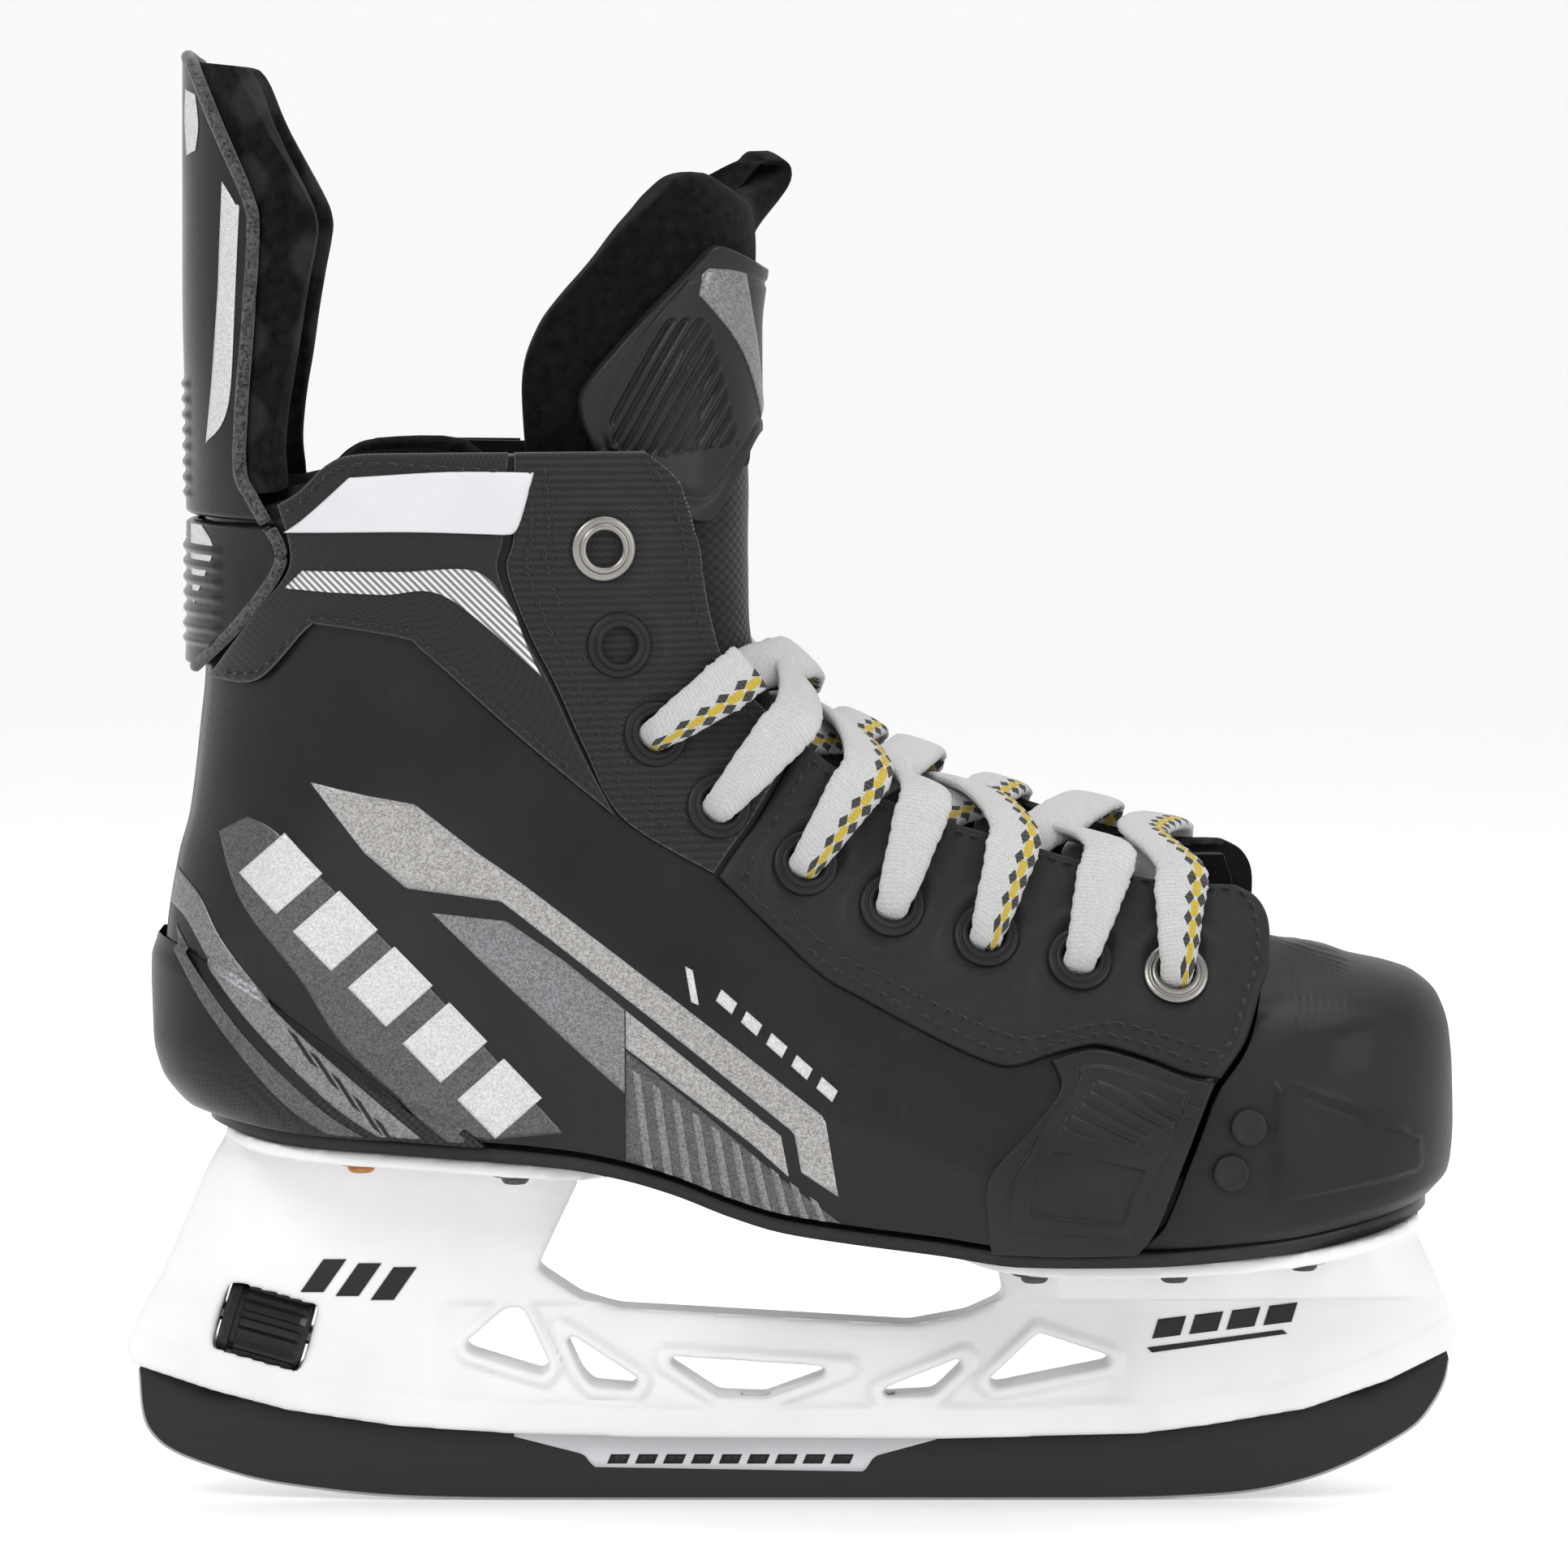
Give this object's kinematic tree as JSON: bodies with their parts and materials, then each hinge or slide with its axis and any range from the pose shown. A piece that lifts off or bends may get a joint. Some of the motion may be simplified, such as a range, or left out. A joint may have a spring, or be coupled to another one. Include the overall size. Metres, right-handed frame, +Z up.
{
  "type": "ice hockey skate",
  "caption": "Laced ice hockey skate: moulded boot with felt tongue and tendon guard, riveted white holder, dark steel runner.",
  "frame": {"origin": "middle of the flat stretch of the runner's underside, on the ice", "axes": "+X to the toe, +Y to the inner side of the foot, +Z up the shaft"},
  "size_m": [0.2658, 0.0946, 0.2886],
  "materials": {
    "gloss_black": "gloss black moulded composite",
    "matte_black": "matte black sewn panel",
    "plate_black": "matte black moulded plate",
    "black_rubber": "black rubber",
    "black_eyelet": "matte black coated metal",
    "metal_eyelet": "bare metal",
    "felt": "black felt",
    "footbed_foam": "dark cloth over foam",
    "white_plastic": "satin white moulded plastic",
    "runner_steel": "dark coated steel",
    "lock_steel": "plain steel",
    "copper": "copper rivet",
    "dark_rivet": "dark steel rivet",
    "white_lace": "white woven lace"
  },
  "bodies": {
    "boot": {"blade_holder": "white_plastic", "outsole": "black_rubber", "quarter_shell": "gloss_black", "heel_cup": "gloss_black", "toe_cap": "gloss_black", "tendon_guard_base": "gloss_black", "boot_liner": "felt", "footbed": "footbed_foam", "tongue_lower": "felt", "lace": "white_lace", "facing_upper_outer": "matte_black", "facing_upper_inner": "matte_black", "facing_lower_outer": "matte_black", "facing_lower_inner": "matte_black", "side_strap_outer": "matte_black", "side_strap_inner": "matte_black", "collar_panel_outer": "matte_black", "collar_panel_inner": "matte_black", "toe_plug_outer_1": "black_rubber", "toe_plug_outer_2": "black_rubber", "toe_plug_inner_1": "black_rubber", "toe_plug_inner_2": "black_rubber", "eyelet_outer_1": "metal_eyelet", "eyelet_outer_2": "black_eyelet", "eyelet_outer_3": "black_eyelet", "eyelet_outer_4": "black_eyelet", "eyelet_outer_5": "black_eyelet", "eyelet_outer_6": "black_eyelet", "eyelet_outer_7": "black_eyelet", "eyelet_outer_8": "black_eyelet", "eyelet_outer_9": "metal_eyelet", "eyelet_inner_1": "metal_eyelet", "eyelet_inner_2": "black_eyelet", "eyelet_inner_3": "black_eyelet", "eyelet_inner_4": "black_eyelet", "eyelet_inner_5": "black_eyelet", "eyelet_inner_6": "black_eyelet", "eyelet_inner_7": "black_eyelet", "eyelet_inner_8": "black_eyelet", "eyelet_inner_9": "metal_eyelet", "rivet_rear_1_outer": "copper", "rivet_rear_2_outer": "dark_rivet", "rivet_front_1_outer": "dark_rivet", "rivet_front_2_outer": "dark_rivet", "rivet_front_3_outer": "dark_rivet", "rivet_rear_1_inner": "copper", "rivet_rear_2_inner": "dark_rivet", "rivet_front_1_inner": "dark_rivet", "rivet_front_2_inner": "dark_rivet", "rivet_front_3_inner": "dark_rivet"},
    "lock_wheel": {"lock_wheel": "black_rubber"},
    "lock_hook": {"lock_hook": "lock_steel"},
    "runner": {"blade_runner": "runner_steel"},
    "tendon_guard": {"tendon_guard": "gloss_black", "guard_liner": "felt"},
    "tongue_top": {"tongue_upper": "felt", "tongue_plate": "plate_black"}
  },
  "joints": [
    {"name": "lock_wheel_spin", "type": "hinge", "parent": "boot", "child": "lock_wheel", "pos_m": [-0.1052, 0, 0.0359], "axis": [0.9613, 0, -0.2756], "range_deg": [0, 540.2]},
    {"name": "lock_hook_slide", "type": "slide", "parent": "boot", "child": "lock_hook", "axis": [-0.9613, 0, 0.2756], "range_m": [0, 0.006]},
    {"name": "runner_release", "type": "hinge", "parent": "boot", "child": "runner", "pos_m": [0.1316, 0, 0.0309], "axis": [0, -1, 0], "range_deg": [0, 1]},
    {"name": "tendon_guard_flex", "type": "hinge", "parent": "boot", "child": "tendon_guard", "pos_m": [-0.1203, 0, 0.198], "axis": [0, -1, 0], "range_deg": [0, 22], "stiffness_Nm_per_rad": 2},
    {"name": "tongue_flex", "type": "hinge", "parent": "boot", "child": "tongue_top", "pos_m": [-0.0078, 0, 0.2122], "axis": [0, 1, 0], "range_deg": [0, 35], "stiffness_Nm_per_rad": 0.8}
  ],
  "couplings": [
    {"joint": "lock_wheel_spin", "follows": "lock_hook_slide", "rad_per_m": 1570.8},
    {"joint": "runner_release", "follows": "lock_hook_slide", "rad_per_m": 2.9088}
  ]
}
